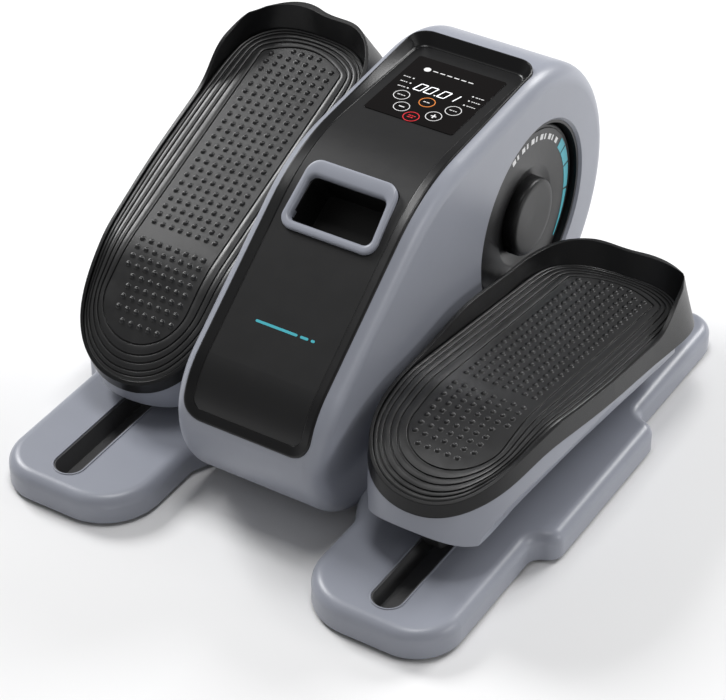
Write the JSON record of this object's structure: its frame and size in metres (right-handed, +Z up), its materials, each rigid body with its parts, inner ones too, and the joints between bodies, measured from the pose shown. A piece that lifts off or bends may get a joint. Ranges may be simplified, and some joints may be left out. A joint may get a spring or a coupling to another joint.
{
  "type": "pedal exerciser",
  "caption": "Low motorised elliptical pedal exerciser: a rounded grey hood with display and carrying handle, crank, foot pedals with studded pads, and rollers on tracks in a low base.",
  "frame": {"origin": "on the floor, under the middle of the machine's bounding box", "axes": "+X to the seated user's right, +Y away from the user towards the crank, +Z up"},
  "size_m": [0.462, 0.535, 0.2704],
  "materials": {
    "grey_body": "fine satin texture",
    "fascia_black": "satin black",
    "window_black": "high gloss",
    "board_green": "solder mask",
    "black_plastic": "fine texture",
    "pad_rubber": "studded",
    "foot_rubber": "matt",
    "steel": "turned",
    "chassis_steel": "black powder coat",
    "motor_paint": "black",
    "pulley_plastic": "moulded",
    "belt_rubber": "ribbed",
    "disc_grey": "satin",
    "well_grey": "satin"
  },
  "bodies": {
    "machine": {"chassis_plate": "chassis_steel", "feet": "foot_rubber", "hood": "grey_body", "fascia_frame": "fascia_black", "fascia_panel": "fascia_black", "display_window": "window_black", "display_board": "board_green", "handle_ring": "grey_body", "handle_pocket": "black_plastic", "motor": "motor_paint", "motor_bracket": "chassis_steel", "drive_belt": "belt_rubber", "control_board": "board_green", "board_stand": "black_plastic", "speed_sensor": "black_plastic", "bracket_bolts": "steel", "rear_panel": "black_plastic", "power_inlet": "black_plastic", "switch_housing": "black_plastic", "left_rail_cover": "grey_body", "right_rail_cover": "grey_body", "left_track": "black_plastic", "right_track": "black_plastic", "left_crank_well": "well_grey", "right_crank_well": "well_grey", "left_bearing": "steel", "right_bearing": "steel", "left_bearing_bracket": "chassis_steel", "right_bearing_bracket": "chassis_steel"},
    "crank": {"crankshaft": "steel", "driven_pulley": "pulley_plastic", "speed_magnet": "steel", "left_crank_arm": "chassis_steel", "right_crank_arm": "chassis_steel", "left_crank_disc": "disc_grey", "right_crank_disc": "disc_grey", "left_hub_cap": "disc_grey", "right_hub_cap": "disc_grey", "left_crank_pin": "steel", "right_crank_pin": "steel", "left_pin_nut": "steel", "right_pin_nut": "steel"},
    "motor_rotor": {"motor_shaft": "steel", "motor_pulley": "pulley_plastic"},
    "power_switch": {"power_rocker": "black_plastic"},
    "left_pedal": {"left_pedal_tray": "black_plastic", "left_pedal_pad": "pad_rubber", "left_pedal_shell": "grey_body", "left_pin_bush": "pulley_plastic", "left_roller_fork": "chassis_steel", "left_roller_axle": "steel"},
    "left_roller_wheel": {"left_roller": "foot_rubber"},
    "right_pedal": {"right_pedal_tray": "black_plastic", "right_pedal_pad": "pad_rubber", "right_pedal_shell": "grey_body", "right_pin_bush": "pulley_plastic", "right_roller_fork": "chassis_steel", "right_roller_axle": "steel"},
    "right_roller_wheel": {"right_roller": "foot_rubber"}
  },
  "joints": [
    {"name": "crank_spin", "type": "hinge", "parent": "machine", "child": "crank", "pos_m": [0, 0.1335, 0.136], "axis": [-1, 0, 0], "range_deg": [0, 180]},
    {"name": "motor_spin", "type": "hinge", "parent": "machine", "child": "motor_rotor", "pos_m": [0, -0.062, 0.066], "axis": [-1, 0, 0], "range_deg": [0, 900]},
    {"name": "left_pedal_tilt", "type": "hinge", "parent": "crank", "child": "left_pedal", "pos_m": [-0.152, 0.13591, 0.20496], "axis": [-1, 0, 0], "range_deg": [-150.72, 0]},
    {"name": "right_pedal_tilt", "type": "hinge", "parent": "crank", "child": "right_pedal", "pos_m": [0.152, 0.13109, 0.06704], "axis": [-1, 0, 0], "range_deg": [-209.38, 0]},
    {"name": "left_roller_spin", "type": "hinge", "parent": "left_pedal", "child": "left_roller_wheel", "pos_m": [-0.152, -0.10297, 0.042], "axis": [1, 0, 0], "continuous": true},
    {"name": "right_roller_spin", "type": "hinge", "parent": "right_pedal", "child": "right_roller_wheel", "pos_m": [0.152, -0.15699, 0.042], "axis": [1, 0, 0], "continuous": true},
    {"name": "power_rocker_tilt", "type": "hinge", "parent": "machine", "child": "power_switch", "pos_m": [-0.014, 0.24828, 0.07497], "axis": [1, 0, 0], "range_deg": [0, 16]}
  ],
  "couplings": [
    {"joint": "motor_spin", "follows": "crank_spin", "ratio": 5},
    {"joint": "left_pedal_tilt", "follows": "crank_spin", "ratio": -0.83704},
    {"joint": "right_pedal_tilt", "follows": "crank_spin", "ratio": -1.163}
  ]
}
